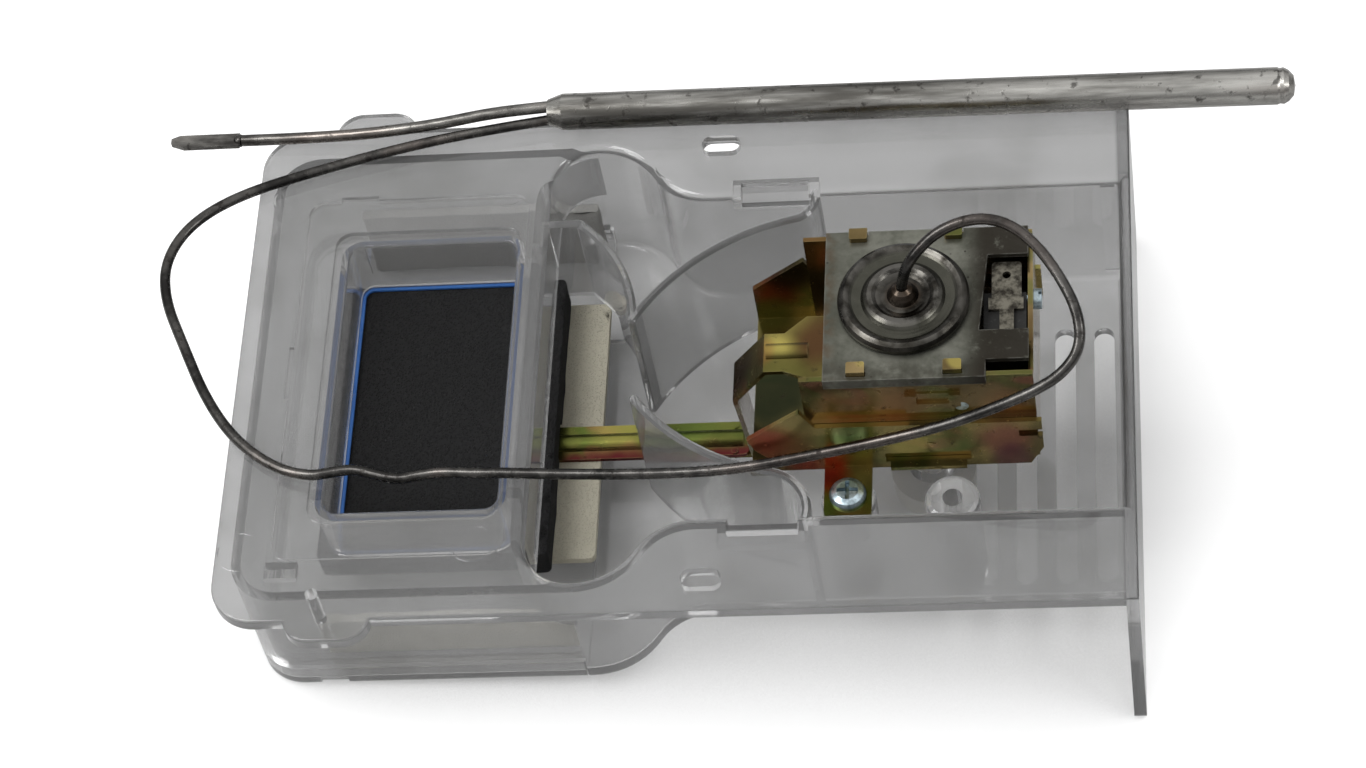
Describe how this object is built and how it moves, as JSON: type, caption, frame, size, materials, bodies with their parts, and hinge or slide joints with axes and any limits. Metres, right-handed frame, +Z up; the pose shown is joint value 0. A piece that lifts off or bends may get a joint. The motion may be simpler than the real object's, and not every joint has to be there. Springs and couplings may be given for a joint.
{
  "type": "capillary thermostat",
  "caption": "Refrigerator capillary thermostat in a clear air-damper housing, with ridged lever arm, foam flap, long bare capillary and steel sensing bulb.",
  "frame": {"origin": "midway between the two obround mounting slots, on the flange's top face", "axes": "+X towards the deep end plate, +Y towards the side where the bulb lies, +Z up out of the open pocket"},
  "size_m": [0.257, 0.141, 0.0991],
  "materials": {
    "clear_plastic": "clear",
    "cream_foam": "matt foam",
    "black_foam": "matt foam",
    "blue_seal": "matt",
    "yellow_zinc": "iridescent plating",
    "grey_zinc": "dull plating",
    "steel": "worn",
    "tube_steel": "tarnished",
    "bright_zinc": "bright",
    "tarnished_brass": "tarnished",
    "black_plastic": "matt",
    "white_plastic": "satin"
  },
  "bodies": {
    "housing": {"duct_housing": "clear_plastic", "bottom_cover": "clear_plastic", "foam_strip_front": "cream_foam", "foam_strip_back": "cream_foam", "seat_seal": "blue_seal", "bracket": "yellow_zinc", "thermostat_frame": "yellow_zinc", "hinge_pin": "steel", "cover_plate": "grey_zinc", "capsule_cup": "steel", "diaphragm_disc": "steel", "terminal_upper": "tarnished_brass", "terminal_lower": "tarnished_brass", "terminal_base": "black_plastic", "fixed_contact": "tarnished_brass", "range_spring": "steel", "mounting_screw": "bright_zinc", "trim_screw": "bright_zinc", "capillary": "tube_steel", "sensing_bulb": "tube_steel", "charge_stub": "tube_steel"},
    "flap": {"main_lever": "yellow_zinc", "damper_arm": "yellow_zinc", "arm_rivets": "steel", "damper_board": "cream_foam", "damper_pad": "black_foam"},
    "blade": {"contact_blade": "tarnished_brass"},
    "pin": {"push_pin": "white_plastic"},
    "dial": {"spindle": "white_plastic", "cam": "white_plastic", "setting_knob": "white_plastic"}
  },
  "joints": [
    {"name": "flap_hinge", "type": "hinge", "parent": "housing", "child": "flap", "pos_m": [0.056, 0, 0.0135], "axis": [0, -1, 0], "range_deg": [0, 2.4], "deforming": ["range_spring"]},
    {"name": "blade_hinge", "type": "hinge", "parent": "housing", "child": "blade", "pos_m": [0.06, 0, 0.008], "axis": [0, -1, 0], "range_deg": [0, 2.7]},
    {"name": "pin_slide", "type": "slide", "parent": "housing", "child": "pin", "axis": [0, 0, -1], "range_m": [0, 0.0005]},
    {"name": "dial_turn", "type": "hinge", "parent": "housing", "child": "dial", "pos_m": [0.046, -0.007, 0], "axis": [0, 0, 1], "range_deg": [0, 300]}
  ],
  "couplings": [
    {"joint": "blade_hinge", "follows": "flap_hinge", "ratio": 1.1},
    {"joint": "pin_slide", "follows": "flap_hinge", "m_per_rad": 0.0115}
  ]
}
